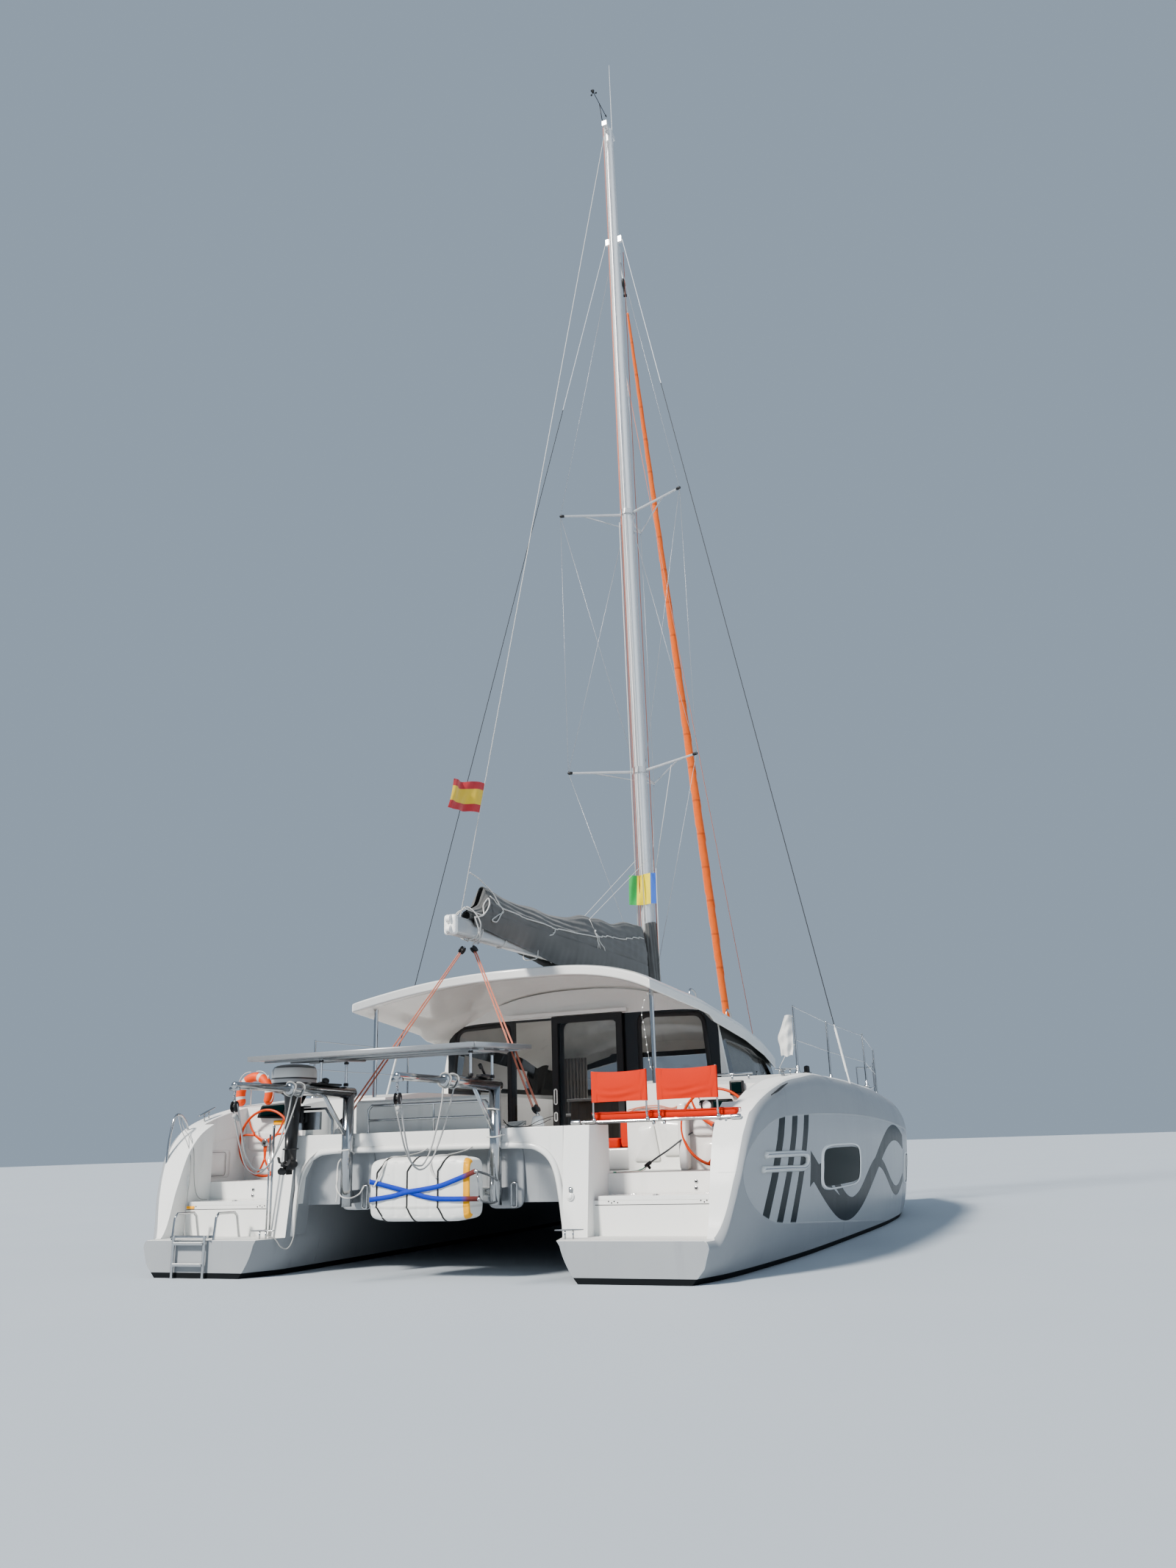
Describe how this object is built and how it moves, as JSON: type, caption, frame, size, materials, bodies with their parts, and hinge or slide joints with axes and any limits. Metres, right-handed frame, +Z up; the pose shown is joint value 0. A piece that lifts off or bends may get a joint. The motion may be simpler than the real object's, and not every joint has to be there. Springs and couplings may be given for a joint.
{
  "type": "sailing catamaran",
  "caption": "Cruising sailing catamaran with furled sails, hardtop cockpit, stern steps, davits with a solar panel, and a mast with diamond spreaders.",
  "frame": {"origin": "on the centreline, at the aft face of the transoms, on the waterline", "axes": "+Z up, +Y to the bows, +X to starboard"},
  "size_m": [6.6828, 13.335, 22.19],
  "materials": {
    "gelcoat": "glossy white gelcoat",
    "grey_gelcoat": "satin grey gelcoat and paint",
    "antifouling": "matt dark antifouling paint",
    "stainless": "polished stainless steel",
    "aluminium": "anodised and painted aluminium",
    "bronze": "bare bronze",
    "black": "black plastic and paint",
    "tinted_glass": "tinted acrylic and glass",
    "orange_fabric": "orange-red woven acrylic",
    "orange_rim": "orange-red painted rim",
    "canvas": "dark grey sailcloth canvas",
    "net": "dark polyester net",
    "solar_cells": "dark cells under glass",
    "white_plastic": "white moulded plastic",
    "rope": "braided rope and flag cloth"
  },
  "bodies": {
    "root": {"hull_port": "gelcoat", "hull_starboard": "gelcoat", "keel_port": "antifouling", "keel_starboard": "antifouling", "saildrive_port": "antifouling", "saildrive_starboard": "antifouling", "bridgedeck": "gelcoat", "aft_bench": "gelcoat", "hardtop": "gelcoat", "house_side_port": "gelcoat", "house_side_starboard": "gelcoat", "house_front": "gelcoat", "side_glass_port": "tinted_glass", "side_glass_starboard": "tinted_glass", "front_glass": "tinted_glass", "aft_bulkhead": "black", "aft_glass_port": "tinted_glass", "aft_glass_centre": "tinted_glass", "aft_glass_starboard": "tinted_glass", "roof_post_port": "stainless", "roof_post_starboard": "stainless", "mast": "aluminium", "spreaders_lower": "aluminium", "spreaders_upper": "aluminium", "shroud_port": "stainless", "shroud_starboard": "stainless", "crossbeam": "aluminium", "centre_beam": "aluminium", "trampoline_port": "net", "trampoline_starboard": "net", "davit_port": "stainless", "davit_starboard": "stainless", "solar_panel": "solar_cells", "liferaft": "white_plastic", "helm_bench_frame": "stainless", "helm_cushion": "orange_fabric", "helm_back_inner": "orange_fabric", "helm_back_outer": "orange_fabric", "aft_rail": "stainless", "engine_rail": "stainless", "outboard_engine": "black", "lifebuoy": "orange_fabric", "ladder_rails": "stainless", "guardrail_port": "stainless", "guardrail_starboard": "stainless"},
    "boom_and_bag": {"boom": "grey_gelcoat", "sail_bag": "canvas", "topping_lift": "rope"},
    "rudder_starboard_body": {"rudder_starboard": "antifouling"},
    "rudder_port_body": {"rudder_port": "antifouling"},
    "wheel_starboard": {"helm_wheel_starboard": "orange_rim"},
    "wheel_port": {"helm_wheel_port": "orange_rim"},
    "propeller_starboard_body": {"propeller_starboard": "bronze"},
    "propeller_port_body": {"propeller_port": "bronze"},
    "door": {"door_frame": "black", "door_glass": "tinted_glass"},
    "ladder": {"swim_ladder": "stainless"},
    "lid_starboard": {"step_lid_starboard": "gelcoat"},
    "lid_port": {"step_lid_port": "gelcoat"},
    "genoa": {"furled_genoa": "orange_fabric"}
  },
  "joints": [
    {"name": "boom_swing", "type": "hinge", "parent": "root", "child": "boom_and_bag", "pos_m": [0, 6.85, 3.42], "axis": [0, 0, 1], "range_deg": [-50, 50]},
    {"name": "rudder_starboard_turn", "type": "hinge", "parent": "root", "child": "rudder_starboard_body", "pos_m": [2.24, 0.56, 0], "axis": [0, 0, 1], "range_deg": [-35, 35]},
    {"name": "rudder_port_turn", "type": "hinge", "parent": "root", "child": "rudder_port_body", "pos_m": [-2.24, 0.56, 0], "axis": [0, 0, 1], "range_deg": [-35, 35]},
    {"name": "wheel_starboard_turn", "type": "hinge", "parent": "root", "child": "wheel_starboard", "pos_m": [2.59, 1.43, 1.235], "axis": [0, 1, 0], "range_deg": [-355, 355]},
    {"name": "wheel_port_turn", "type": "hinge", "parent": "root", "child": "wheel_port", "pos_m": [-2.59, 1.43, 1.235], "axis": [0, 1, 0], "range_deg": [-355, 355]},
    {"name": "propeller_starboard_spin", "type": "hinge", "parent": "root", "child": "propeller_starboard_body", "pos_m": [2.29, 1.925, -0.82], "axis": [0, 1, 0], "continuous": true},
    {"name": "propeller_port_spin", "type": "hinge", "parent": "root", "child": "propeller_port_body", "pos_m": [-2.29, 1.925, -0.82], "axis": [0, 1, 0], "continuous": true},
    {"name": "door_slide", "type": "slide", "parent": "root", "child": "door", "axis": [1, 0, 0], "range_m": [-0.55, 0]},
    {"name": "ladder_fold", "type": "hinge", "parent": "root", "child": "ladder", "pos_m": [-2.31, -0.034, 0.372], "axis": [-1, 0, 0], "range_deg": [0, 180]},
    {"name": "lid_starboard_lift", "type": "hinge", "parent": "root", "child": "lid_starboard", "pos_m": [2.265, 0.846, 0.67], "axis": [-1, 0, 0], "range_deg": [0, 90]},
    {"name": "lid_port_lift", "type": "hinge", "parent": "root", "child": "lid_port", "pos_m": [-2.265, 0.846, 0.67], "axis": [-1, 0, 0], "range_deg": [0, 90]},
    {"name": "genoa_furl", "type": "hinge", "parent": "root", "child": "genoa", "pos_m": [0, 11.492, 1.63], "axis": [0, -0.2767, 0.961], "continuous": true}
  ],
  "couplings": [
    {"joint": "rudder_port_turn", "follows": "rudder_starboard_turn", "ratio": 1},
    {"joint": "wheel_starboard_turn", "follows": "rudder_starboard_turn", "ratio": 10},
    {"joint": "wheel_port_turn", "follows": "rudder_starboard_turn", "ratio": 10}
  ]
}
